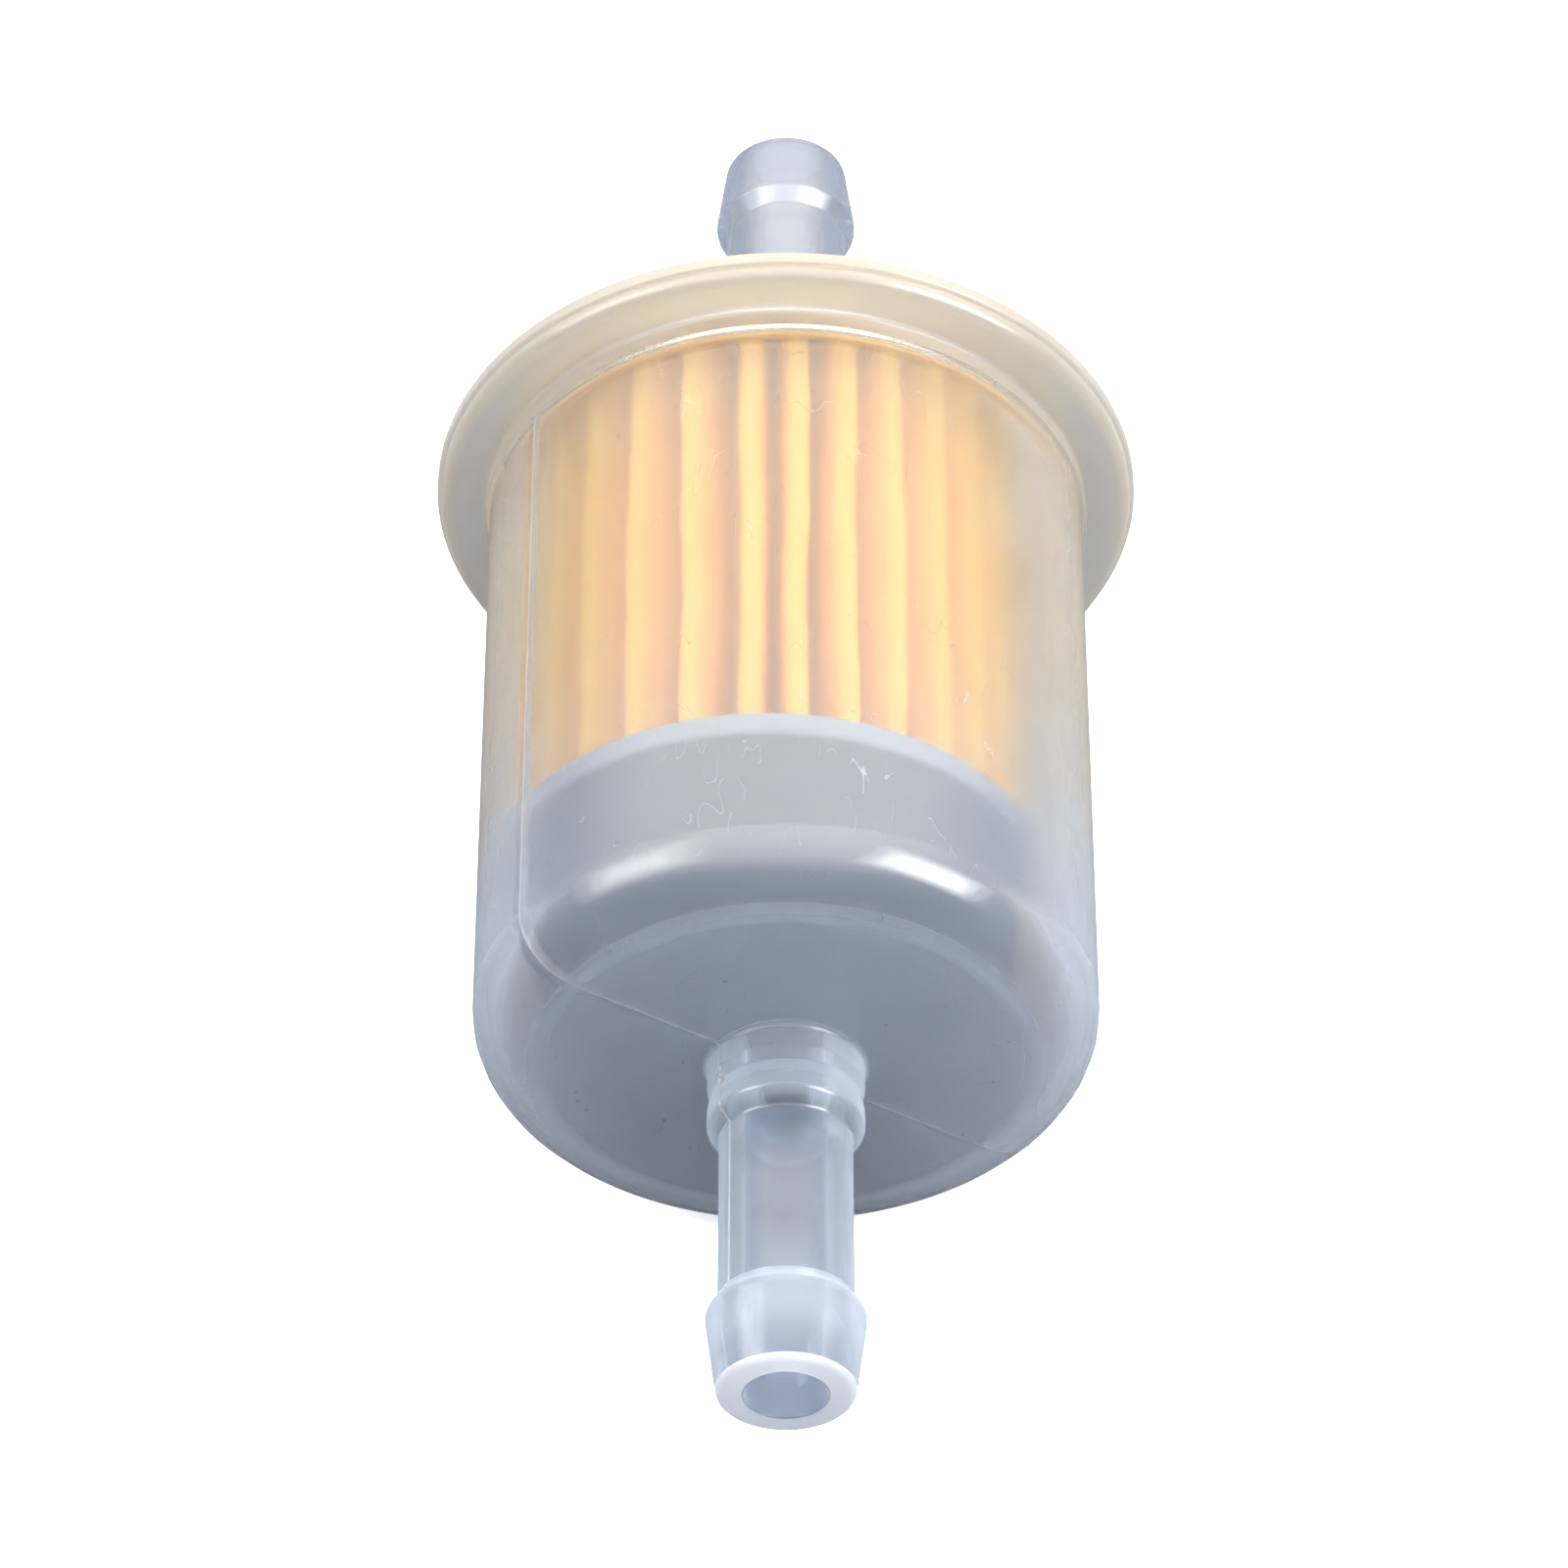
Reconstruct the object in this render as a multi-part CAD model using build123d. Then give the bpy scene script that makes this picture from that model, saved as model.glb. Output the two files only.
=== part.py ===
"""In-line fuel filter for small engines: a clear moulded bowl and lid around a pleated paper element.

Frame: the flow axis is Y, the inlet nipple points to -Y and the outlet nipple to +Y, +Z is up, and
the origin is on the axis halfway along the filter. Millimetres.
Stations (names ending in _at) are measured along the axis from the inlet nipple's tip.
"""

import os
from math import acos, atan2, cos, hypot, sin

from build123d import *

# Hose nipples, the same at both ends, for 8 mm (5/16 in) fuel hose
BORE_R = 2.45
TUBE_R = 4.0
TIP_R = 4.06
BARB_R = 4.7
BARB_AT = 4.85
BARB_LAND = 0.4
BARB_ROUNDING = 0.4
TIP_ROUNDING = 0.43
BORE_ROUNDING = 0.25
SHOULDER_AT = 6.3
CHAMFER_AT = 17.6
COLLAR_AT = 18.55
COLLAR_R = 4.74
WAIST_R = 4.58
WAIST_AT = 20.5
WAIST_HALF_LENGTH = 0.9
WAIST_ROUNDING = 0.8
NIPPLE_LENGTH = 23.0

# Housing
LENGTH = 98.4
WALL = 1.6
BODY_R_FLOOR = 18.94
BODY_R_MOUTH = 19.27
BODY_CORNER_R = 3.85
STEP_AT = 65.85
STEP_HEIGHT = 0.15
STEP_R = 19.5
FLANGE_AT = 67.1
FLANGE_THICKNESS = 1.0
BOWL_FLANGE_R = 22.5
LID_FLANGE_R = 22.78
BOWL_FLANGE_ROUNDING = 0.85
LID_FLANGE_ROUNDING = 0.27
DOME_R = 18.75
DOME_AT = 73.3
DOME_CORNER_R = 2.0
BOSS_R = 8.5
SPIGOT_WALL = 0.45
SPIGOT_AT = 66.5
FIT_GAP = 0.05
POCKET_R = 6.2
FILLET_R = 0.3
BEAD_WIDTH = 0.6
BEAD_HEIGHT = 0.35
BEAD_LIP = 0.2
BEAD_ROUNDING = 0.15

# Filter element, which sits a little to one side of the housing's axis
ELEMENT_SHIFT_X = -1.0
CAP_R = 16.3
UPPER_CAP_R = 16.05
CAP_RIM = 0.4
CAP_FLOOR = 0.8
CAP_DEPTH = 0.7
CAP_EDGE_R = 0.4
CAP_RIM_ROUNDING = 0.12
UPPER_CAP_EDGE_R = 0.5
LOWER_CAP_AT = 35.3
BOND_THICKNESS = 0.3
BOND_INSIDE_PLEATS = 1.6
OUTLET_RING_R = 4.2
OUTLET_SPIGOT_R = 5.0
OUTLET_SPIGOT_HEIGHT = 1.2
PLEATS = 29
FIRST_PLEAT_ANGLE = -5.8
PAPER_THICKNESS = 0.5
OUTER_FOLD_R = 0.4
INNER_FOLD_R = 0.43
OUTER_FOLD_CENTRE = 14.9
INNER_FOLD_CENTRE = 10.9
SEAM_PLEAT = 15
SEAM_THICKNESS = 0.25
SEAM_INNER_R = 11.6
SEAM_OUTER_R = 14.0

# Stations that follow from the sizes above
FLOOR_AT = NIPPLE_LENGTH
JOINT_AT = FLANGE_AT + FLANGE_THICKNESS
LID_TOP_AT = JOINT_AT + FLANGE_THICKNESS
BOSS_AT = LENGTH - NIPPLE_LENGTH
CEILING_AT = DOME_AT - WALL
POCKET_AT = BOSS_AT - WALL
PAPER_START_AT = LOWER_CAP_AT + CAP_FLOOR + BOND_THICKNESS
PAPER_END_AT = CEILING_AT - CAP_FLOOR - BOND_THICKNESS


def turned(corners, axis_x=0.0):
    """Turn a closed outline about the axis. A corner is (radius, station, rounding)."""
    points = [(radius, station - LENGTH / 2) for radius, station, rounding in corners]
    roundings = [rounding for radius, station, rounding in corners]
    outline = FilletPolyline(*points, radius=roundings, close=True)
    return Pos(axis_x, 0, 0) * revolve(make_face(outline), Axis.Y, 360)


def nipple_outline():
    """Outside of a hose nipple from its tip to its root: radius, distance from the tip, rounding."""
    return [
        (BORE_R, 0.0, BORE_ROUNDING),
        (TIP_R, 0.0, TIP_ROUNDING),
        (BARB_R, BARB_AT, BARB_ROUNDING),
        (BARB_R, BARB_AT + BARB_LAND, BARB_ROUNDING),
        (TUBE_R, SHOULDER_AT, FILLET_R),
        (TUBE_R, CHAMFER_AT, 0.4),
        (COLLAR_R, COLLAR_AT, 0.6),
        (COLLAR_R, WAIST_AT - WAIST_HALF_LENGTH, WAIST_ROUNDING),
        (WAIST_R, WAIST_AT, WAIST_ROUNDING),
        (COLLAR_R, WAIST_AT + WAIST_HALF_LENGTH, WAIST_ROUNDING),
        (COLLAR_R, NIPPLE_LENGTH, 0.35),
    ]


def bowl():
    """Clear bowl with the inlet nipple in its floor and a welding flange round its mouth."""
    outside = nipple_outline() + [
        (BODY_R_FLOOR, FLOOR_AT, BODY_CORNER_R),
        (BODY_R_MOUTH, STEP_AT, 0.0),
        (STEP_R, STEP_AT + STEP_HEIGHT, 0.0),
        (STEP_R, FLANGE_AT, FILLET_R),
        (BOWL_FLANGE_R, FLANGE_AT, BOWL_FLANGE_ROUNDING),
        (BOWL_FLANGE_R, JOINT_AT, 0.0),
    ]
    inside = [
        (BODY_R_MOUTH - WALL, JOINT_AT, 0.0),
        (BODY_R_FLOOR - WALL, FLOOR_AT + WALL, BODY_CORNER_R - WALL),
        (BORE_R, FLOOR_AT + WALL, 0.8),
    ]
    return turned(outside + inside)


def lid():
    """Domed lid with the outlet nipple, a welding flange and a spigot that enters the bowl."""
    nipple = [(r, LENGTH - distance, rounding) for r, distance, rounding in nipple_outline()]
    spigot_r = BODY_R_MOUTH - WALL - FIT_GAP
    outside = nipple + [
        (BOSS_R, BOSS_AT, 0.9),
        (BOSS_R, DOME_AT, 0.5),
        (DOME_R, DOME_AT, DOME_CORNER_R),
        (DOME_R, LID_TOP_AT, 0.5),
        (LID_FLANGE_R, LID_TOP_AT, LID_FLANGE_ROUNDING),
        (LID_FLANGE_R, JOINT_AT, 0.2),
    ]
    inside = [
        (spigot_r, JOINT_AT, 0.0),
        (spigot_r, SPIGOT_AT, 0.25),
        (spigot_r - SPIGOT_WALL, SPIGOT_AT, 0.25),
        (spigot_r - SPIGOT_WALL, CEILING_AT, DOME_CORNER_R - WALL),
        (POCKET_R, CEILING_AT, FILLET_R),
        (POCKET_R, POCKET_AT, 0.6),
        (BORE_R, POCKET_AT, 0.4),
    ]
    return turned(outside + inside)


def weld_bead():
    """Bead of melted plastic pressed out of the joint, below the end of the lid's spigot."""
    outer_r = BODY_R_MOUTH - WALL - FIT_GAP
    return turned([
        (outer_r, SPIGOT_AT, 0.0),
        (outer_r, SPIGOT_AT - BEAD_HEIGHT, BEAD_ROUNDING),
        (outer_r - BEAD_WIDTH, SPIGOT_AT - BEAD_LIP, BEAD_ROUNDING),
        (outer_r - BEAD_WIDTH, SPIGOT_AT, 0.0),
    ])


def fold_skin(side):
    """Closed outline of the pleats, half a paper thickness outside (+1) or inside (-1) its middle."""
    step = 360 / PLEATS
    half = PAPER_THICKNESS / 2 * side
    tip_r, root_r = OUTER_FOLD_R + half, INNER_FOLD_R - half
    tip = Vector(OUTER_FOLD_CENTRE, 0)
    root = Vector(INNER_FOLD_CENTRE, 0).rotate(Axis.Z, step / 2)
    # The flank is the line that touches both fold circles and crosses between them.
    run = root - tip
    normal_angle = atan2(run.Y, run.X) - acos((OUTER_FOLD_R + INNER_FOLD_R) / hypot(run.X, run.Y))
    normal = Vector(cos(normal_angle), sin(normal_angle))
    flank_start, flank_end = tip + normal * tip_r, root - normal * root_r
    mirrored_start = Vector(flank_start.X, -flank_start.Y)
    next_flank = Vector(flank_end.X, -flank_end.Y).rotate(Axis.Z, step)
    edges = []
    for pleat in range(PLEATS):
        turn = Rot(0, 0, pleat * step)
        edges += [
            turn * ThreePointArc(mirrored_start, tip + Vector(tip_r, 0), flank_start),
            turn * Line(flank_start, flank_end),
            turn * ThreePointArc(flank_end, root - root.normalized() * root_r, next_flank),
            turn * Line(next_flank, mirrored_start.rotate(Axis.Z, step)),
        ]
    return Wire(edges)


def in_element(section):
    """Extrude a section of the element to the paper's height and stand it on the element's axis."""
    column = extrude(Rot(0, 0, FIRST_PLEAT_ANGLE - 90) * section, PAPER_END_AT - PAPER_START_AT)
    return Pos(ELEMENT_SHIFT_X, PAPER_START_AT - LENGTH / 2, 0) * Rot(-90, 0, 0) * column


def pleated_paper():
    """One strip of filter paper, folded into radial pleats and closed into a ring."""
    return in_element(Face(fold_skin(+1)) - Face(fold_skin(-1)))


def paper_seam():
    """Glue line that joins the strip's two ends inside one pleat, at the back of the element."""
    middle_r = (SEAM_INNER_R + SEAM_OUTER_R) / 2
    glue = Pos(middle_r, 0, 0) * Rectangle(SEAM_OUTER_R - SEAM_INNER_R, SEAM_THICKNESS)
    return in_element(Rot(0, 0, SEAM_PLEAT * 360 / PLEATS) * glue)


def lower_end_cap():
    """Closed disc with a low rim that holds the pleats at the inlet end."""
    floor_top = LOWER_CAP_AT + CAP_FLOOR
    return turned([
        (0.0, LOWER_CAP_AT, 0.0),
        (CAP_R, LOWER_CAP_AT, CAP_EDGE_R),
        (CAP_R, floor_top + CAP_DEPTH, CAP_RIM_ROUNDING),
        (CAP_R - CAP_RIM, floor_top + CAP_DEPTH, CAP_RIM_ROUNDING),
        (CAP_R - CAP_RIM, floor_top, 0.0),
        (0.0, floor_top, 0.0),
    ], ELEMENT_SHIFT_X)


def upper_end_cap():
    """Open ring with a low rim over the pleats and a short spigot round the outlet opening."""
    ring_bottom = CEILING_AT - CAP_FLOOR
    return turned([
        (OUTLET_RING_R, ring_bottom, 0.2),
        (UPPER_CAP_R - CAP_RIM, ring_bottom, 0.0),
        (UPPER_CAP_R - CAP_RIM, ring_bottom - CAP_DEPTH, CAP_RIM_ROUNDING),
        (UPPER_CAP_R, ring_bottom - CAP_DEPTH, CAP_RIM_ROUNDING),
        (UPPER_CAP_R, CEILING_AT, UPPER_CAP_EDGE_R),
        (OUTLET_SPIGOT_R, CEILING_AT, 0.0),
        (OUTLET_SPIGOT_R, CEILING_AT + OUTLET_SPIGOT_HEIGHT, 0.2),
        (OUTLET_RING_R, CEILING_AT + OUTLET_SPIGOT_HEIGHT, 0.2),
    ], ELEMENT_SHIFT_X)


def bond_ring(bottom_at, outer_r):
    """Flat ring of potting adhesive that seals the pleats' edges into an end cap."""
    inner_r = INNER_FOLD_CENTRE - BOND_INSIDE_PLEATS
    return turned([
        (inner_r, bottom_at, 0.0),
        (outer_r, bottom_at, 0.0),
        (outer_r, bottom_at + BOND_THICKNESS, 0.0),
        (inner_r, bottom_at + BOND_THICKNESS, 0.0),
    ], ELEMENT_SHIFT_X)


parts = {
    "bowl": bowl(),
    "lid": lid(),
    "weld_bead": weld_bead(),
    "pleated_paper": pleated_paper(),
    "paper_seam": paper_seam(),
    "lower_end_cap": lower_end_cap(),
    "upper_end_cap": upper_end_cap(),
    "lower_bond": bond_ring(PAPER_START_AT - BOND_THICKNESS, CAP_R - CAP_RIM),
    "upper_bond": bond_ring(PAPER_END_AT, UPPER_CAP_R - CAP_RIM),
}

os.makedirs("parts", exist_ok=True)
for name, solid in parts.items():
    export_step(solid, f"parts/{name}.step")
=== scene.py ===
"""Looks of the in-line fuel filter: a milky clear housing around a yellow pleated paper element.

The filter lies on its side in the CAD frame: the flow axis is Y, the inlet nipple points to -Y.
Sizes are millimetres until a mesh is made, and stations (names ending in _AT) are measured along
the axis from the inlet nipple's tip.
"""

import random
from math import acos, atan2, cos, degrees, exp, pi, radians, sin

import bpy
from mathutils import Matrix, Vector


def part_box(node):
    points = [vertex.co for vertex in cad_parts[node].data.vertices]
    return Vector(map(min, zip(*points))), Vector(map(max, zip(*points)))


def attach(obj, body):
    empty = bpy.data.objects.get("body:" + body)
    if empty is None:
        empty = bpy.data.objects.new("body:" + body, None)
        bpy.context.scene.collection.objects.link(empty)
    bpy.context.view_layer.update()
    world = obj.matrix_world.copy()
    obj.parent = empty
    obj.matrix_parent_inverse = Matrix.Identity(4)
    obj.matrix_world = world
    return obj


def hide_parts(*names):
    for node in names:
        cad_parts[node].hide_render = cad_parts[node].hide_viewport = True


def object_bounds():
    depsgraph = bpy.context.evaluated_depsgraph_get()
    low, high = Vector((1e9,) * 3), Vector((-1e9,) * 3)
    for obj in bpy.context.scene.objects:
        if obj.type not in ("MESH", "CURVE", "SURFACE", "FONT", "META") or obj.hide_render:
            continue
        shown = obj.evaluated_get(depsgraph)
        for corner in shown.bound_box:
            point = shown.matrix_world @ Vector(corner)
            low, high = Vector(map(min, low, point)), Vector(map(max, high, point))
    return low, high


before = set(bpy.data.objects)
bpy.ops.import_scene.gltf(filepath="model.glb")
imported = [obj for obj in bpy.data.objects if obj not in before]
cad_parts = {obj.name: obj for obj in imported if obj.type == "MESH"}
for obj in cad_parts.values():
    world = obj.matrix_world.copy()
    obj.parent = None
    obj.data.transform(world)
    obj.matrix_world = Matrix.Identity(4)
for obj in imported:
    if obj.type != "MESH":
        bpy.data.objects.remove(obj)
cad_low, cad_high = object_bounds()

MM = 0.001
LENGTH = (cad_high.y - cad_low.y) / MM

# Hose nipples
BORE_R = 2.45
TUBE_R = 4.0
TIP_R = 4.06
BARB_R = 4.7
BARB_AT = 4.85
BARB_LAND = 0.4
BARB_ROUNDING = 0.4
TIP_ROUNDING = 0.43
BORE_ROUNDING = 0.1
SHOULDER_AT = 6.3
CHAMFER_AT = 17.6
COLLAR_AT = 18.55
COLLAR_R = 4.74
WAIST_R = 4.58
WAIST_AT = 20.5
WAIST_HALF_LENGTH = 0.9
WAIST_ROUNDING = 0.8
NIPPLE_LENGTH = 23.0

# Housing
WALL = 1.6
BODY_R_FLOOR = 18.94
BODY_R_MOUTH = 19.27
BODY_CORNER_R = 3.85
STEP_AT = 65.85
STEP_R = 19.5
STEP_HEIGHT = 0.15
FLANGE_AT = 67.1
FLANGE_THICKNESS = 1.0
BOWL_FLANGE_R = 22.5
LID_FLANGE_R = 22.78
BOWL_FLANGE_ROUNDING = 0.85
LID_FLANGE_ROUNDING = 0.27
DOME_R = 18.75
DOME_AT = 73.3
DOME_CORNER_R = 2.0
BOSS_R = 8.5
SPIGOT_WALL = 0.45
SPIGOT_AT = 66.5
FIT_GAP = 0.05
POCKET_R = 6.2
FILLET_R = 0.3
FLOOR_AT = NIPPLE_LENGTH
JOINT_AT = FLANGE_AT + FLANGE_THICKNESS
LID_TOP_AT = JOINT_AT + FLANGE_THICKNESS
BOSS_AT = LENGTH - NIPPLE_LENGTH
CEILING_AT = DOME_AT - WALL
POCKET_AT = BOSS_AT - WALL
WELD_DEPTH = 0.02

# Mould parting line: where the mould's two halves met, a plane through the axis
PARTING_ANGLE = 146.0
PARTING_WIDTH = 0.14
PARTING_HEIGHT = 0.035

# Gate mark: the rough pips where the plastic entered the mould, on the inlet nipple's collar.
# Each pip has an angle, a station and a height.
GATE_PIPS = [(146.0, 20.45, 0.28), (151.0, 20.9, 0.16), (141.0, 20.1, 0.14), (144.0, 21.3, 0.14)]
GATE_SPREAD = 0.17
GATE_REACH = 1.4
GATE_STEP = 0.1

# Pleats. Angles are in degrees round the element, from its top.
PLEATS = 29
FIRST_PLEAT_ANGLE = -5.8
PAPER_THICKNESS = 0.5
OUTER_FOLD_R = 0.4
INNER_FOLD_R = 0.43
OUTER_FOLD_CENTRE = 14.9
INNER_FOLD_CENTRE = 10.9
# How far the top folds lean out of their even spacing, by their number from the topmost one
TOP_LEAN = {-4: -1.5, -3: -1.3, -2: -0.6, -1: 0.4, 0: 1.7, 1: -0.1, 2: -1.0, 3: -1.6, 4: -1.5, 5: -1.8}
MOST_LEAN = 0.8
# Waves of a fold line from end to end: the swing in degrees and how fast it comes and goes
FOLD_WAVES = ((0.45, 2.1 * pi), (0.2, 6.3 * pi), (0.09, 15 * pi))
FOLD_STEPS = 8
FLANK_STEPS = 10
PAPER_ROWS = 46

ROUND_SEGMENTS = 180
ROUNDING_STEPS = 7

# Zones of the mouldings, each with its own material
ZONES = ["wall", "floor", "nipple", "tip", "bore", "flange", "joint", "inside", "inner_floor", "parting",
         "outlet"]


# ---------------------------------------------------------------- outlines and turned meshes

def rounded(corners):
    """Points of a closed outline of straight runs, and the zone of each point.

    A corner is (zone, radius, station, rounding). Its zone covers its rounding and the run before it.
    """
    points, zones = [], []
    for i, (zone, radius, station, rounding) in enumerate(corners):
        here = Vector((radius, station))
        if rounding == 0:
            points.append(here)
            zones.append(zone)
            continue
        back = (Vector(corners[i - 1][1:3]) - here).normalized()
        ahead = (Vector(corners[(i + 1) % len(corners)][1:3]) - here).normalized()
        half = acos(max(-1, min(1, back.dot(ahead)))) / 2
        middle = (back + ahead).normalized()
        centre = here + middle * rounding / sin(half)
        side = 1 if back.x * ahead.y - back.y * ahead.x > 0 else -1
        start = atan2(-middle.y, -middle.x) + side * (pi / 2 - half)
        for step in range(ROUNDING_STEPS + 1):
            angle = start - side * (pi - 2 * half) * step / ROUNDING_STEPS
            points.append(centre + rounding * Vector((cos(angle), sin(angle))))
            zones.append(zone)
    return points, zones


def new_piece(name, vertices, faces, sharp_angle=40):
    """Mesh object from points in millimetres, shaded smooth except at real edges."""
    mesh = bpy.data.meshes.new(name)
    mesh.from_pydata([Vector(v) * MM for v in vertices], [], faces)
    mesh.validate()
    mesh.polygons.foreach_set("use_smooth", [True] * len(mesh.polygons))
    mesh.set_sharp_from_angle(angle=radians(sharp_angle))
    piece = bpy.data.objects.new(name, mesh)
    bpy.context.scene.collection.objects.link(piece)
    return piece


def outline_normals(points):
    """Outward normal at each point of an outline that runs with its solid on the left."""
    normals = []
    for i, here in enumerate(points):
        run = points[(i + 1) % len(points)] - points[i - 1]
        normals.append(Vector((run.y, -run.x)).normalized())
    return normals


def refined(points, zones):
    """The same outline with more points beside the gate mark, so that its pips show in the mesh."""
    fine_points, fine_zones = [], []
    for i, (here, zone) in enumerate(zip(points, zones)):
        before = points[i - 1]
        if zone == "nipple" and abs(here.y - GATE_PIPS[0][1]) < GATE_REACH:
            steps = int((here - before).length / GATE_STEP)
            for step in range(1, steps):
                fine_points.append(before.lerp(here, step / steps))
                fine_zones.append(zone)
        fine_points.append(here)
        fine_zones.append(zone)
    return fine_points, fine_zones


def gate_height(angle, station, radius):
    """How far the gate's pips raise the surface at this angle and station."""
    height = 0.0
    for pip_angle, pip_at, pip_height in GATE_PIPS:
        around = radians(angle - pip_angle) * radius
        apart = (around ** 2 + (station - pip_at) ** 2) / GATE_SPREAD ** 2
        height += pip_height * exp(-apart / 2)
    return height


def half_turn(ridge_height, radius):
    """Angles of half a turn, each with its lift. The parting line's ridge comes first."""
    half_width = degrees(PARTING_WIDTH / 2 / max(radius, 0.5))
    ridge = [(PARTING_ANGLE - half_width, 0.0), (PARTING_ANGLE, ridge_height),
             (PARTING_ANGLE + half_width, 0.0)]
    spacing = 360 / ROUND_SEGMENTS
    return ridge + [(PARTING_ANGLE + spacing * (i + 1.5), 0.0) for i in range(ROUND_SEGMENTS // 2 - 2)]


def turned_piece(name, corners, ridged=(), flip=False):
    """Turn an outline about the axis. Its points in the `ridged` zones carry the parting line's ridge.

    `flip` is for an outline that runs with its solid on the right.
    """
    points, zones = rounded(corners)
    if ridged:
        points, zones = refined(points, zones)
    if flip:
        points.reverse()
        zones = zones[-1:] + zones[:-1]
        zones.reverse()
    normals = outline_normals(points)
    vertices = []
    for i, point in enumerate(points):
        angles = half_turn(PARTING_HEIGHT if zones[i] in ridged else 0.0, point.x)
        for turn in (0, 180):
            for angle, lift in angles:
                if ridged and zones[i] == "nipple":
                    lift += gate_height(angle + turn, point.y, point.x)
                radius = point.x + normals[i].x * lift
                station = point.y + normals[i].y * lift
                a = radians(angle + turn)
                vertices.append((radius * cos(a), station - LENGTH / 2, radius * sin(a)))
    ring = 2 * len(angles)
    faces = []
    for i in range(len(points)):
        j = (i + 1) % len(points)
        for k in range(ring):
            n = (k + 1) % ring
            faces.append((i * ring + k, j * ring + k, j * ring + n, i * ring + n))
    piece = new_piece(name, vertices, faces)
    zone_of_face = []
    for zone in zones[1:] + zones[:1]:
        for k in range(ring):
            on_ridge = zone in ridged and k % (ring // 2) < 2
            zone_of_face.append(ZONES.index("parting" if on_ridge else zone))
    piece.data.polygons.foreach_set("material_index", zone_of_face)
    return piece


def nipple_corners():
    """Outside of a hose nipple, from the bore's edge at its tip to its root."""
    return [
        ("bore", BORE_R, 0.0, BORE_ROUNDING),
        ("tip", TIP_R, 0.0, TIP_ROUNDING),
        ("nipple", BARB_R, BARB_AT, BARB_ROUNDING),
        ("nipple", BARB_R, BARB_AT + BARB_LAND, BARB_ROUNDING),
        ("nipple", TUBE_R, SHOULDER_AT, FILLET_R),
        ("nipple", TUBE_R, CHAMFER_AT, 0.4),
        ("nipple", COLLAR_R, COLLAR_AT, 0.6),
        ("nipple", COLLAR_R, WAIST_AT - WAIST_HALF_LENGTH, WAIST_ROUNDING),
        ("nipple", WAIST_R, WAIST_AT, WAIST_ROUNDING),
        ("nipple", COLLAR_R, WAIST_AT + WAIST_HALF_LENGTH, WAIST_ROUNDING),
        ("nipple", COLLAR_R, NIPPLE_LENGTH, 0.35),
    ]


def make_bowl():
    """The lower half of the housing. The step beside its flange has the joint's duller look."""
    corners = nipple_corners() + [
        ("floor", BODY_R_FLOOR, FLOOR_AT, BODY_CORNER_R),
        ("wall", BODY_R_MOUTH, STEP_AT, 0.0),
        ("wall", STEP_R, STEP_AT + STEP_HEIGHT, 0.0),
        ("joint", STEP_R, FLANGE_AT, FILLET_R),
        ("flange", BOWL_FLANGE_R, FLANGE_AT, BOWL_FLANGE_ROUNDING),
        ("flange", BOWL_FLANGE_R, JOINT_AT, 0.0),
        ("joint", BODY_R_MOUTH - WALL, JOINT_AT, 0.0),
        ("inside", BODY_R_FLOOR - WALL, FLOOR_AT + WALL, BODY_CORNER_R - WALL),
        ("inner_floor", BORE_R, FLOOR_AT + WALL, 0.8),
    ]
    return turned_piece("bowl_moulding", corners, ridged=("nipple", "floor", "wall"))


def make_lid():
    """The upper half of the housing, with its spigot inside the bowl's mouth."""
    nipple = [("bore" if zone == "bore" else "outlet", r, LENGTH - distance, rounding)
              for zone, r, distance, rounding in nipple_corners()]
    spigot_r = BODY_R_MOUTH - WALL - FIT_GAP
    inner_r = spigot_r - SPIGOT_WALL
    corners = nipple + [
        ("outlet", BOSS_R, BOSS_AT, 0.9),
        ("wall", BOSS_R, DOME_AT, 0.5),
        ("wall", DOME_R, DOME_AT, DOME_CORNER_R),
        ("wall", DOME_R, LID_TOP_AT, 0.5),
        ("flange", LID_FLANGE_R, LID_TOP_AT, LID_FLANGE_ROUNDING),
        ("flange", LID_FLANGE_R, JOINT_AT - WELD_DEPTH, 0.2),
        ("joint", spigot_r, JOINT_AT - WELD_DEPTH, 0.0),
        ("inside", spigot_r, SPIGOT_AT, 0.25),
        ("inside", inner_r, SPIGOT_AT, 0.25),
        ("inside", inner_r, CEILING_AT, DOME_CORNER_R - WALL),
        ("inside", POCKET_R, CEILING_AT, FILLET_R),
        ("inside", POCKET_R, POCKET_AT, 0.6),
        ("inside", BORE_R, POCKET_AT, 0.4),
    ]
    return turned_piece("lid_moulding", corners, flip=True)


# ---------------------------------------------------------------- pleated paper

def outward(angle):
    """Unit vector from the element's axis, at an angle from its top."""
    return Vector((sin(angle), cos(angle)))


def fold_arc(centre, angle, r, bulge):
    """Points of a half-round fold. `bulge` is 1 where it rounds away from the axis, -1 towards it."""
    out = outward(angle)
    across = Vector((out.y, -out.x))
    points = []
    for step in range(FOLD_STEPS + 1):
        a = -pi / 2 + pi * step / FOLD_STEPS
        points.append(centre + r * (across * sin(a) + bulge * out * cos(a)))
    return points


def flank(start, end):
    """Points between the end of one fold and the start of the next."""
    return [start.lerp(end, step / FLANK_STEPS) for step in range(1, FLANK_STEPS)]


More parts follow.
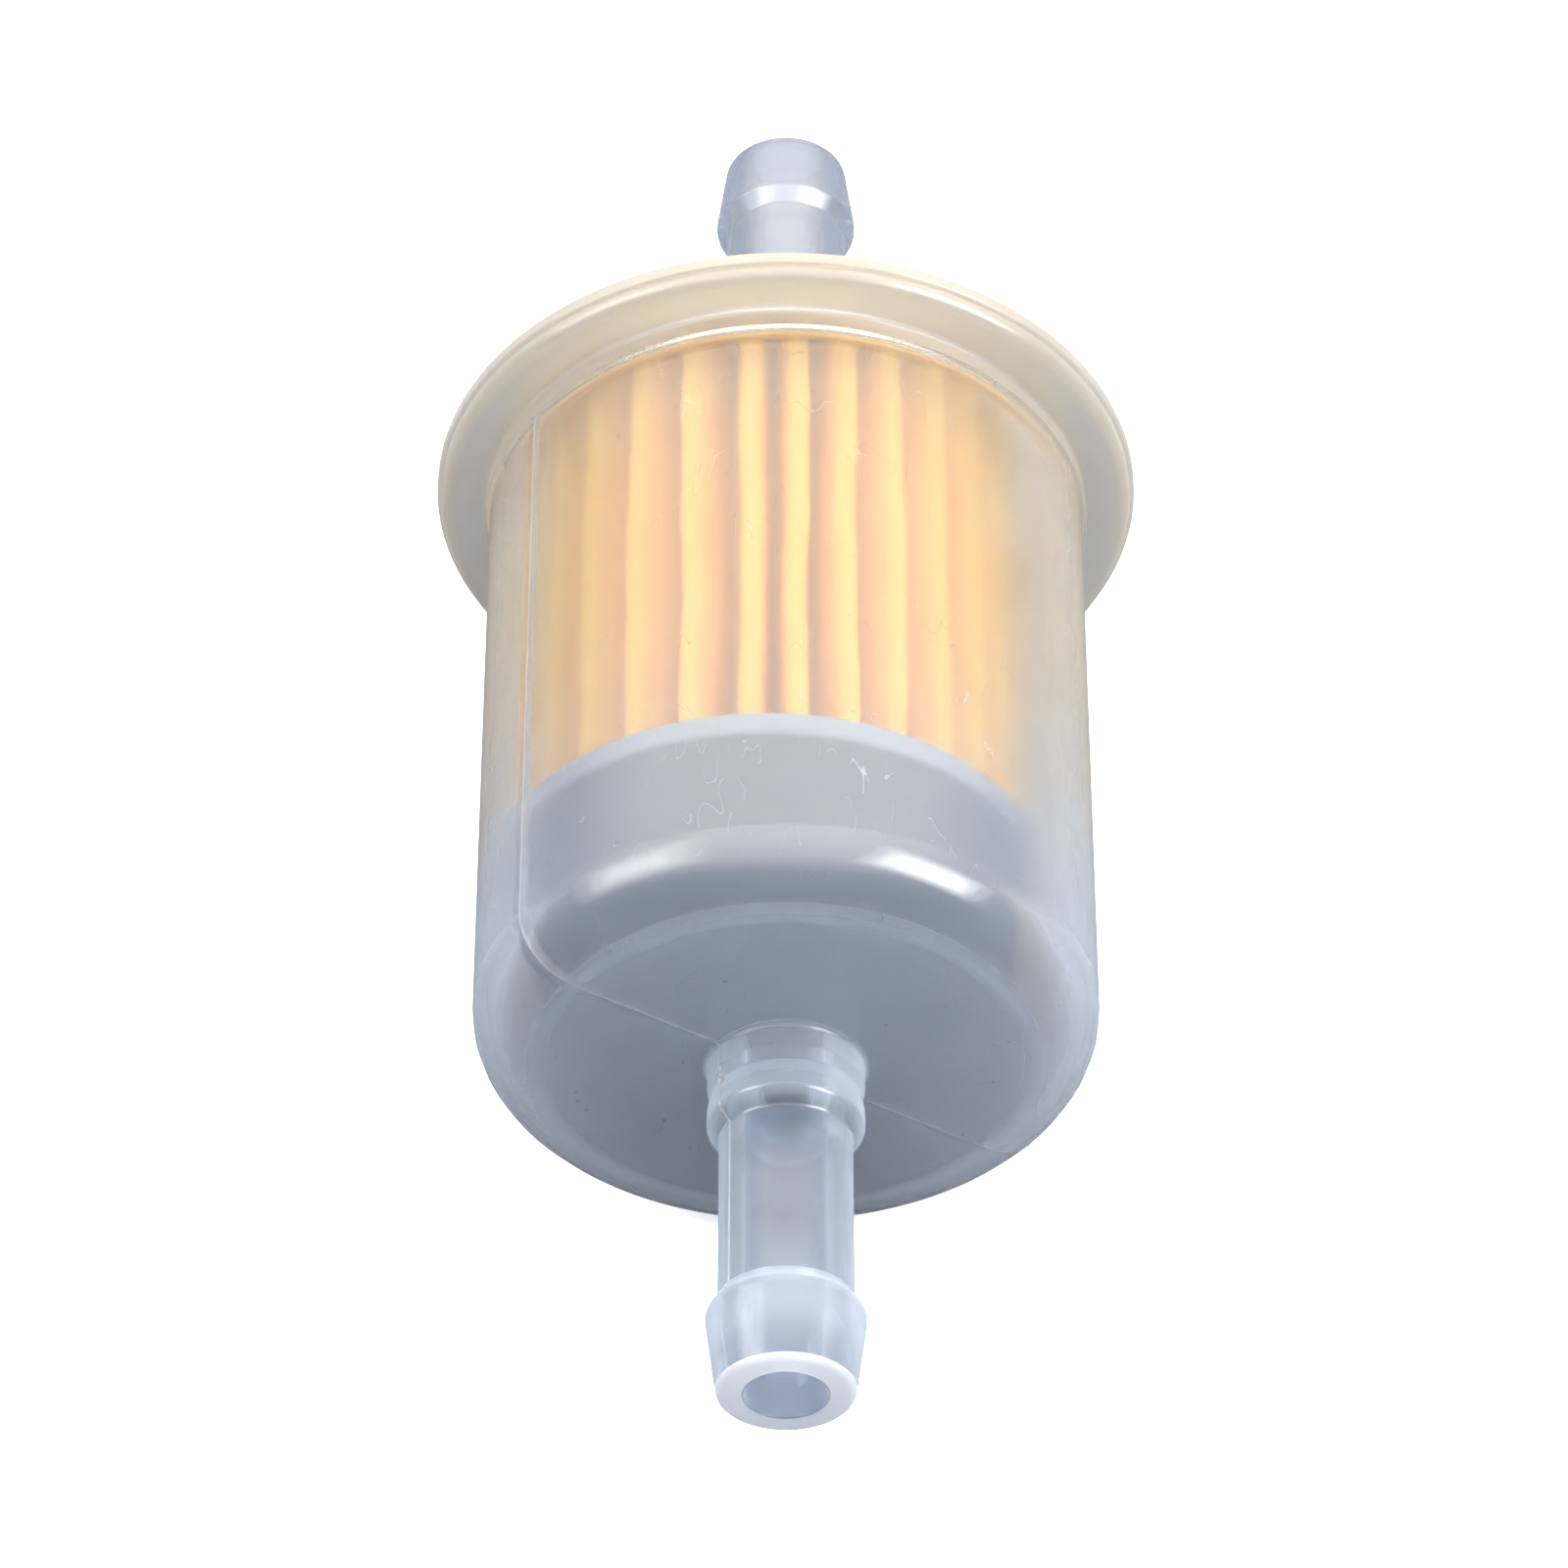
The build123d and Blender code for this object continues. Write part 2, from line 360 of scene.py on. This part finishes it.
def make_paper():
    """The folded strip: two skins of rounded folds, with uneven spacing and wavy fold lines."""
    dice = random.Random(11)
    low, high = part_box("pleated_paper")
    centre_x = (low.x + high.x) / 2 / MM
    start, end = low.y / MM, high.y / MM
    lean = []
    for i in range(PLEATS):
        from_top = i if i < PLEATS / 2 else i - PLEATS
        lean.append(TOP_LEAN.get(from_top, dice.uniform(-MOST_LEAN, MOST_LEAN)))
    phases = [[dice.uniform(0, 2 * pi) for wave in FOLD_WAVES] for i in range(PLEATS)]

    def fold_angle(i, t):
        """Angle of the outer fold i, where t is how far along the paper it is, from 0 to 1."""
        waves = sum(swing * sin(pace * t + phase)
                    for (swing, pace), phase in zip(FOLD_WAVES, phases[i % PLEATS]))
        return FIRST_PLEAT_ANGLE + i * 360 / PLEATS + lean[i % PLEATS] + sin(pi * t) ** 0.5 * waves

    def section(t, side):
        """Outline of one skin: the outer for side 1 and the inner for side -1."""
        half = PAPER_THICKNESS / 2 * side
        outer_r, inner_r = OUTER_FOLD_R + half, INNER_FOLD_R - half
        outline = []
        for i in range(PLEATS):
            tip = radians(fold_angle(i, t))
            next_tip = radians(fold_angle(i + 1, t))
            root = (tip + next_tip) / 2
            outline += fold_arc(OUTER_FOLD_CENTRE * outward(tip), tip, outer_r, 1)
            inner_fold = fold_arc(INNER_FOLD_CENTRE * outward(root), root, inner_r, -1)
            outline += flank(outline[-1], inner_fold[0]) + inner_fold
            next_fold = fold_arc(OUTER_FOLD_CENTRE * outward(next_tip), next_tip, outer_r, 1)
            outline += flank(outline[-1], next_fold[0])
        return outline

    vertices, faces, loops = [], [], []
    for side in (1, -1):
        for row in range(PAPER_ROWS + 1):
            t = row / PAPER_ROWS
            outline = section(t, side)
            loops.append(len(vertices))
            vertices += [(centre_x + p.x, start + (end - start) * t, p.y) for p in outline]
    ring = len(outline)
    inner_loops = loops[PAPER_ROWS + 1:]
    bands = [(a, b, True) for a, b in zip(loops[:PAPER_ROWS], loops[1:])]
    bands += [(a, b, False) for a, b in zip(inner_loops, inner_loops[1:])]
    bands += [(loops[0], inner_loops[0], False), (loops[PAPER_ROWS], inner_loops[-1], True)]
    for a, b, turned in bands:
        for k in range(ring):
            n = (k + 1) % ring
            face = (a + k, a + n, b + n, b + k)
            faces.append(face[::-1] if turned else face)
    return new_piece("filter_paper", vertices, faces, sharp_angle=60)


# ---------------------------------------------------------------- materials

def new_material(name, **sockets):
    """Principled material with these socket values. Returns the material, its nodes and its shader."""
    material = bpy.data.materials.new(name)
    material.use_nodes = True
    tree = material.node_tree
    shader = tree.nodes["Principled BSDF"]
    for socket, value in sockets.items():
        shader.inputs[socket.replace("_", " ")].default_value = value
    return material, tree, shader


def calculate(tree, operation, *values):
    """A Math node on these values, each a number or a socket."""
    node = tree.nodes.new("ShaderNodeMath")
    node.operation = operation
    for socket, value in zip(node.inputs, values):
        if isinstance(value, (int, float)):
            socket.default_value = value
        else:
            tree.links.new(value, socket)
    return node.outputs[0]


def calculate_vector(tree, operation, vector, fixed=None):
    """A Vector Math node on a vector's socket and a fixed vector."""
    node = tree.nodes.new("ShaderNodeVectorMath")
    node.operation = operation
    tree.links.new(vector, node.inputs[0])
    if fixed is not None:
        node.inputs[1].default_value = fixed
    return node


def blend_colours(tree, share, first, second):
    """A colour between two others, where `share` is the second one's."""
    node = tree.nodes.new("ShaderNodeMix")
    node.data_type = "RGBA"
    node.inputs["A"].default_value = (*first, 1)
    node.inputs["B"].default_value = (*second, 1)
    tree.links.new(share, node.inputs["Factor"])
    return node.outputs["Result"]


def smooth_step(tree, value, start, end):
    """A share that grows smoothly from 0 to 1 while the value goes from start to end."""
    node = tree.nodes.new("ShaderNodeMapRange")
    node.interpolation_type = "SMOOTHSTEP"
    node.inputs["From Min"].default_value = start
    node.inputs["From Max"].default_value = end
    tree.links.new(value, node.inputs["Value"])
    return node.outputs["Result"]


def blend_shaders(tree, share, first, second):
    """A mix of two shaders, where `share` is the second one's: a number or a socket."""
    node = tree.nodes.new("ShaderNodeMixShader")
    if isinstance(share, float):
        node.inputs["Fac"].default_value = share
    else:
        tree.links.new(share, node.inputs["Fac"])
    tree.links.new(first, node.inputs[1])
    tree.links.new(second, node.inputs[2])
    return node.outputs[0]


def place_on_object(tree):
    """Place on the object in metres."""
    return tree.nodes.new("ShaderNodeTexCoord").outputs["Object"]


def noise(tree, grain, detail=3.0, stretch=(1, 1, 1)):
    """Noise from 0 to 1 whose patches are about `grain` millimetres wide."""
    node = tree.nodes.new("ShaderNodeTexNoise")
    node.inputs["Scale"].default_value = 1 / (grain * MM)
    node.inputs["Detail"].default_value = detail
    place = calculate_vector(tree, "MULTIPLY", place_on_object(tree), stretch)
    tree.links.new(place.outputs[0], node.inputs["Vector"])
    return node.outputs["Fac"]


def specks(tree, spacing, size, share):
    """1 in small round specks and 0 elsewhere. Only this share of the cells holds a speck."""
    cells = tree.nodes.new("ShaderNodeTexVoronoi")
    cells.inputs["Scale"].default_value = 1 / (spacing * MM)
    tree.links.new(place_on_object(tree), cells.inputs["Vector"])
    split = tree.nodes.new("ShaderNodeSeparateColor")
    tree.links.new(cells.outputs["Color"], split.inputs[0])
    near = calculate(tree, "LESS_THAN", cells.outputs["Distance"], size / spacing / 2)
    return calculate(tree, "MULTIPLY", near, calculate(tree, "LESS_THAN", split.outputs["Red"], share))


def scratches(tree, spacing, share, stretch):
    """1 along fine broken lines and 0 elsewhere. They show in this share of the noise's patches."""
    patch_grain, line_width = 2.2, 0.004
    from_line = calculate(tree, "SUBTRACT", noise(tree, spacing, 0.0, stretch), 0.5)
    line = calculate(tree, "LESS_THAN", calculate(tree, "ABSOLUTE", from_line), line_width)
    patch = calculate(tree, "LESS_THAN", noise(tree, patch_grain, 1.0), share)
    return calculate(tree, "MULTIPLY", line, patch)


def bump(tree, height, depth, *shaders):
    """Raise the surface by `height`, of `depth` millimetres, on these shaders."""
    node = tree.nodes.new("ShaderNodeBump")
    node.inputs["Strength"].default_value = 1.0
    node.inputs["Distance"].default_value = depth * MM
    tree.links.new(height, node.inputs["Height"])
    for shader in shaders:
        tree.links.new(node.outputs["Normal"], shader.inputs["Normal"])


def facing_share(tree, straight, slanting, power):
    """A share that grows from `straight`, where a ray meets the surface head on, to `slanting`."""
    weight = tree.nodes.new("ShaderNodeLayerWeight")
    weight.inputs["Blend"].default_value = 0.5
    curve = calculate(tree, "POWER", weight.outputs["Facing"], power)
    return calculate(tree, "MULTIPLY_ADD", curve, slanting - straight, straight)


def along_axis(tree, start_at, end_at):
    """A share that grows from 0 to 1 between two stations."""
    split = tree.nodes.new("ShaderNodeSeparateXYZ")
    tree.links.new(place_on_object(tree), split.inputs[0])
    return smooth_step(tree, split.outputs["Y"], (start_at - LENGTH / 2) * MM, (end_at - LENGTH / 2) * MM)


def from_axis(tree, start, end, axis_x=0.0):
    """A share that grows from 0 to 1 between two distances from an axis along Y, in millimetres."""
    shifted = calculate_vector(tree, "SUBTRACT", place_on_object(tree), (axis_x * MM, 0, 0))
    across = calculate_vector(tree, "MULTIPLY", shifted.outputs[0], (1, 0, 1))
    radius = calculate_vector(tree, "LENGTH", across.outputs[0])
    return smooth_step(tree, radius.outputs["Value"], start * MM, end * MM)


# Stations between which the milk turns from its cool colour to the warm one, which paints the light that
# the paper throws into the plastic
COOL_TO_AT = 30.0
WARM_FROM_AT = 50.0


def housing_material(name, roughness, haze, milk_colour, paper_light_colour=None, glow=0.5, blur=0.0, worn=0.0,
                     tint=(0.97, 0.96, 0.94), rings=(), sheen=0.25, coat=0.0):
    """Natural nylon: clear glass mixed with a milky scatter, which is thicker along a slanting ray.

    `haze` is the milk's share head on, its share along the surface, and how late it rises.
    A warm colour, if given, is the milk's colour beside the paper: painted light, the glow that the
    yellow paper throws into the plastic.
    `glow` is how much of the milk's light comes from behind.
    `blur` is the roughness along a slanting ray.
    `worn` is how much of the specks, scratches and unevenness it has.
    `rings` are where the milk changes along the radius: start, end and the share it adds.
    """
    material, tree, clear = new_material(
        name, Base_Color=(*tint, 1), Roughness=roughness, IOR=1.5, Transmission_Weight=1.0,
        Specular_IOR_Level=sheen, Coat_Weight=coat, Coat_Roughness=0.06)
    if blur:
        tree.links.new(facing_share(tree, roughness, blur, 2.0), clear.inputs["Roughness"])
    milk = tree.nodes.new("ShaderNodeBsdfPrincipled")
    milk.inputs["Base Color"].default_value = (*milk_colour, 1)
    milk.inputs["Roughness"].default_value = roughness
    milk.inputs["Specular IOR Level"].default_value = sheen
    behind = tree.nodes.new("ShaderNodeBsdfTranslucent")
    behind.inputs["Color"].default_value = (*milk_colour, 1)
    if paper_light_colour:
        paper_light_share = along_axis(tree, COOL_TO_AT, WARM_FROM_AT)
        colour = blend_colours(tree, paper_light_share, milk_colour, paper_light_colour)
        tree.links.new(colour, milk.inputs["Base Color"])
        tree.links.new(colour, behind.inputs["Color"])
    scatter = blend_shaders(tree, glow, milk.outputs[0], behind.outputs[0])
    clouds = calculate(tree, "MULTIPLY_ADD", noise(tree, 7.0), 0.5, 0.75)
    share = calculate(tree, "MULTIPLY", facing_share(tree, *haze), clouds)
    for start, end, extra in rings:
        share = calculate(tree, "MULTIPLY_ADD", from_axis(tree, start, end), extra, share)
    if worn:
        dots = specks(tree, spacing=1.6, size=0.13, share=0.1)
        hairs = scratches(tree, spacing=0.9, share=0.42, stretch=(1, 0.35, 1))
        marks = calculate(tree, "MULTIPLY", calculate(tree, "MAXIMUM", dots, hairs), 0.35 * worn)
        share = calculate(tree, "MAXIMUM", share, marks)
        bump(tree, noise(tree, 1.6, 2.0), 0.006 * worn, clear, milk)
    mixed = blend_shaders(tree, share, clear.outputs[0], scatter)
    tree.links.new(mixed, tree.nodes["Material Output"].inputs["Surface"])
    return material


def paper_material():
    """Resin-treated filter paper, its colour painted by depth: darker and deeper yellow on the fold tips,
    which catch more light, as painted shade, and lighter and warmer down the folds, where shade falls, as
    painted light.
    """
    # The folds' light roots are painted light and their dark tips are painted shade.
    folds_painted_light_colour, tips_painted_shade_colour, glow_colour = (1.0, 0.71, 0.19), (0.74, 0.55, 0.08), (1.0, 0.8, 0.29)
    root_r, tip_r = 13.6, 15.3
    material, tree, shader = new_material("filter_paper", Roughness=0.9)
    low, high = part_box("pleated_paper")
    height = from_axis(tree, root_r, tip_r, (low.x + high.x) / 2 / MM)
    tone = blend_colours(tree, height, folds_painted_light_colour, tips_painted_shade_colour)
    fibres = noise(tree, 0.35, 5.0, (1, 0.3, 1))
    blotches = noise(tree, 3.0, 3.0)
    shade = calculate(tree, "MULTIPLY_ADD", calculate(tree, "ADD", fibres, blotches), 0.24, 0.78)
    shaded = tree.nodes.new("ShaderNodeMix")
    shaded.data_type = "RGBA"
    shaded.blend_type = "MULTIPLY"
    shaded.inputs["Factor"].default_value = 1.0
    tree.links.new(tone, shaded.inputs["A"])
    tree.links.new(shade, shaded.inputs["B"])
    tree.links.new(shaded.outputs["Result"], shader.inputs["Base Color"])
    glow = tree.nodes.new("ShaderNodeBsdfTranslucent")
    glow.inputs["Color"].default_value = (*glow_colour, 1)
    bump(tree, fibres, 0.06, shader, glow)
    mixed = blend_shaders(tree, 0.63, shader.outputs[0], glow.outputs[0])
    tree.links.new(mixed, tree.nodes["Material Output"].inputs["Surface"])
    return material


def solid_material(name, dark, light, roughness, grain, depth, transmission=0.0):
    """Plastic or glue whose colour wanders between two tones, with an uneven surface."""
    material, tree, shader = new_material(name, Transmission_Weight=transmission)
    patches = noise(tree, grain * 4, 3.0)
    tree.links.new(blend_colours(tree, patches, dark, light), shader.inputs["Base Color"])
    uneven = calculate(tree, "MULTIPLY_ADD", patches, 0.2, roughness - 0.1)
    tree.links.new(uneven, shader.inputs["Roughness"])
    bump(tree, noise(tree, grain, 4.0), depth, shader)
    return material


def finish_piece(piece, materials, slot_name, *nodes):
    """Give a new piece its materials and its body, and hide the CAD nodes that it stands for. Its slot
    name is not used.
    """
    for material in materials:
        piece.data.materials.append(material)
    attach(piece, "root")
    if nodes:
        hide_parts(*nodes)


def finish_node(node, material):
    """Give a CAD node that stays a better material."""
    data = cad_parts[node].data
    data.materials.clear()
    data.materials.append(material)


# Colours of the milk in the plastic. The warm one is painted light from the paper, the white one paints a
# highlight and a glow, and the deep one paints shade.
BLUE_MILK = (0.62, 0.68, 0.77)
PAINTED_SHADE_MILK = (0.3, 0.35, 0.44)
PAPER_LIGHT_MILK = (0.7, 0.64, 0.525)
CREAM_MILK = (0.82, 0.76, 0.67)
PAINTED_LIGHT_MILK = (0.95, 0.94, 0.94)

nylon = {
    "wall": housing_material(
        "nylon_wall", 0.07, (0.04, 0.54, 1.3), BLUE_MILK, PAPER_LIGHT_MILK, blur=0.4, worn=1.0),
    # The floor's rings paint a lighter arc where the flat floor meets its rounded corner, a painted
    # highlight, and a darker band on the corner, a painted reflection.
    "floor": housing_material(
        "nylon_floor", 0.1, (0.19, 0.95, 2.6), BLUE_MILK, blur=0.4, worn=1.0,
        rings=((13.6, 15.0, 0.13), (15.0, 16.6, -0.16)), sheen=1.0),
    "nipple": housing_material(
        "nylon_nipple", 0.13, (0.01, 1.0, 2.0), BLUE_MILK, blur=0.3, worn=0.6,
        tint=(0.82, 0.845, 0.885), rings=((4.1, 4.6, 0.23),)),
    # The tip face's white milk is painted light: the glow that the thick wall pipes to the nipple's end.
    "tip": housing_material(
        "nylon_tip", 0.3, (0.8, 0.9, 1.0), PAINTED_LIGHT_MILK, glow=0.7, worn=0.6),
    # The bore's dark blue tint is painted shade inside the nipple's bore.
    "bore": housing_material(
        "nylon_bore", 0.12, (0.0, 0.6, 1.5), BLUE_MILK, tint=(0.61, 0.7, 0.84), sheen=0.1),
    "flange": housing_material(
        "nylon_flange", 0.3, (0.08, 0.6, 1.6), CREAM_MILK, blur=0.5, worn=0.3,
        rings=((20.8, 22.2, 0.17),), coat=0.6),
    "joint": housing_material(
        "nylon_joint", 0.35, (0.05, 0.6, 1.5), CREAM_MILK),
    "inside": housing_material(
        "nylon_inside", 0.2, (0.05, 0.6, 2.0), BLUE_MILK, PAPER_LIGHT_MILK, blur=0.5),
    # The inner floor's deep milk is painted shade in the bottom of the bowl.
    "inner_floor": housing_material(
        "nylon_inner_floor", 0.6, (0.4, 0.6, 2.0), PAINTED_SHADE_MILK),
    # The parting line's white milk is a painted highlight along its ridge; the ridge itself is real.
    "parting": housing_material(
        "nylon_parting", 0.2, (0.15, 0.5, 1.0), PAINTED_LIGHT_MILK),
    # The outlet nipple is the same nylon as the inlet one; its deep milk and darker tint are painted
    # shade.
    "outlet": housing_material(
        "nylon_outlet", 0.15, (0.12, 0.5, 1.5), PAINTED_SHADE_MILK, blur=0.4, worn=0.6,
        tint=(0.75, 0.79, 0.86), sheen=0.12),
}
housing = [nylon[zone] for zone in ZONES]
finish_piece(make_bowl(), housing, "housing", "bowl")
finish_piece(make_lid(), housing, "housing", "lid")
finish_piece(make_paper(), [paper_material()], "paper", "pleated_paper")

amber = solid_material("amber_bead", (0.85, 0.5, 0.14), (0.98, 0.72, 0.3), 0.35, 0.5, 0.08, 0.5)
glue = solid_material("potting_glue", (0.98, 0.76, 0.44), (1.0, 0.9, 0.64), 0.5, 0.6, 0.1)
# The end cap's dark blue-grey is painted shade: the cap sits in the shade below the paper.
cap = solid_material("shaded_end_cap_plastic", (0.17, 0.205, 0.265), (0.2, 0.24, 0.305), 0.5, 0.4, 0.004)
finish_node("weld_bead", amber)
finish_node("lower_end_cap", cap)
for node in ("paper_seam", "lower_bond", "upper_bond", "upper_end_cap"):
    finish_node(node, glue)


# ---------------------------------------------------------------- floor, light and camera

FRONT_LIGHT = (0.28, 0.33, 0.42)
TOP_LIGHT = (3.75, 3.65, 3.5)
BLACK = (0, 0, 0)
WHITE = (1.0, 1.0, 1.0)


def seen_or_lighting(tree, seen, lighting):
    """A node with the colour that the camera sees, and the one that lights the filter."""
    node = tree.nodes.new("ShaderNodeMix")
    node.data_type = "RGBA"
    path = tree.nodes.new("ShaderNodeLightPath")
    tree.links.new(path.outputs["Is Camera Ray"], node.inputs["Factor"])
    node.inputs["A"].default_value = (*lighting, 1)
    node.inputs["B"].default_value = (*seen, 1)
    return node


def floor_material():
    """Matte pale floor, with a little light of its own for the camera."""
    material, tree, shader = new_material("floor", Roughness=0.8, Specular_IOR_Level=0.0)
    tone = seen_or_lighting(tree, (0.85, 0.85, 0.85), (0.14, 0.155, 0.182))
    tree.links.new(tone.outputs["Result"], shader.inputs["Base Color"])
    lift = seen_or_lighting(tree, (0.35, 0.35, 0.35), BLACK)
    tree.links.new(lift.outputs["Result"], shader.inputs["Emission Color"])
    shader.inputs["Emission Strength"].default_value = 1.0
    return material


def make_floor():
    """Pale floor that touches the flange's rim and the bowl's rounded corner."""
    rest_slope = (LID_FLANGE_R - BODY_R_FLOOR) / (JOINT_AT - FLOOR_AT - BODY_CORNER_R)
    reach = 2000 * MM
    gap = 0.1 * MM
    mesh = bpy.data.meshes.new("floor")
    corners = [(-reach, -reach, 0), (reach, -reach, 0), (reach, reach, 0), (-reach, reach, 0)]
    mesh.from_pydata(corners, [], [(0, 1, 2, 3)])
    floor = bpy.data.objects.new("floor", mesh)
    bpy.context.scene.collection.objects.link(floor)
    touch_y = (JOINT_AT + FLANGE_THICKNESS / 2 - LENGTH / 2) * MM
    slope = Matrix.Rotation(-atan2(rest_slope, 1), 4, "X")
    floor.matrix_world = Matrix.Translation((0, touch_y, cad_low.z - gap)) @ slope
    floor.data.materials.append(floor_material())


def area_light(name, place, size, power):
    """A rectangular light that points at the filter's middle. Its place and size are in metres."""
    light = bpy.data.lights.new(name, "AREA")
    light.shape = "RECTANGLE"
    light.size, light.size_y = size
    light.energy = power
    lamp = bpy.data.objects.new(name, light)
    lamp.location = place
    lamp.rotation_euler = (-place).to_track_quat("-Z", "Y").to_euler()
    bpy.context.scene.collection.objects.link(lamp)


def make_world():
    """Studio surroundings: bright overhead and behind, dim and bluish low in front of the filter."""
    brightest = Vector((0.0, 0.45, 1.0)).normalized()
    world = bpy.data.worlds.new("studio")
    bpy.context.scene.world = world
    world.use_nodes = True
    tree = world.node_tree
    background = tree.nodes["Background"]
    place = tree.nodes.new("ShaderNodeTexCoord")
    height = calculate_vector(tree, "DOT_PRODUCT", place.outputs["Generated"], brightest)
    share = smooth_step(tree, height.outputs["Value"], 0.15, 1.0)
    path = seen_or_lighting(tree, WHITE, BLACK)
    tree.links.new(blend_colours(tree, share, FRONT_LIGHT, TOP_LIGHT), path.inputs["A"])
    tree.links.new(path.outputs["Result"], background.inputs["Color"])
    background.inputs["Strength"].default_value = 1.0


def make_light():
    """Surroundings and two soft lights, each a bright middle with dimmer, wider ones behind it."""
    make_world()
    reach = 600 * MM
    for name, direction, size, power in (
        ("left_softbox", (-0.77, 0.0, 0.64), (0.2, 0.24), 0.5),
        ("left_diffuser", (-0.775, 0.0, 0.645), (0.34, 0.38), 1.0),
        ("left_spill", (-0.78, 0.0, 0.65), (0.5, 0.54), 1.2),
        ("right_softbox", (0.74, -0.2, 0.64), (0.2, 0.26), 1.1),
        ("right_diffuser", (0.745, -0.2, 0.645), (0.3, 0.36), 2.0),
        ("right_spill", (0.75, -0.2, 0.65), (0.42, 0.48), 2.0),
    ):
        area_light(name, Vector(direction) * reach, size, power)


def make_camera():
    """Camera that sees the filter from the inlet side, at the angle where the bowl's floor shows."""
    tilt = radians(38.57)
    distance, aim_below, aim_x = 332.86, 3.385, -0.12
    forward = Vector((0, sin(tilt), -cos(tilt)))
    upward = Vector((0, cos(tilt), sin(tilt)))
    camera = bpy.data.objects.new("camera", bpy.data.cameras.new("camera"))
    camera.data.lens = 120.93
    camera.data.sensor_width = 36
    camera.location = (Vector((aim_x, 0, 0)) - forward * distance - upward * aim_below) * MM
    camera.rotation_euler = forward.to_track_quat("-Z", "Y").to_euler()
    bpy.context.scene.collection.objects.link(camera)
    bpy.context.scene.camera = camera


make_floor()
make_light()
make_camera()
bpy.context.scene.view_settings.view_transform = "Standard"
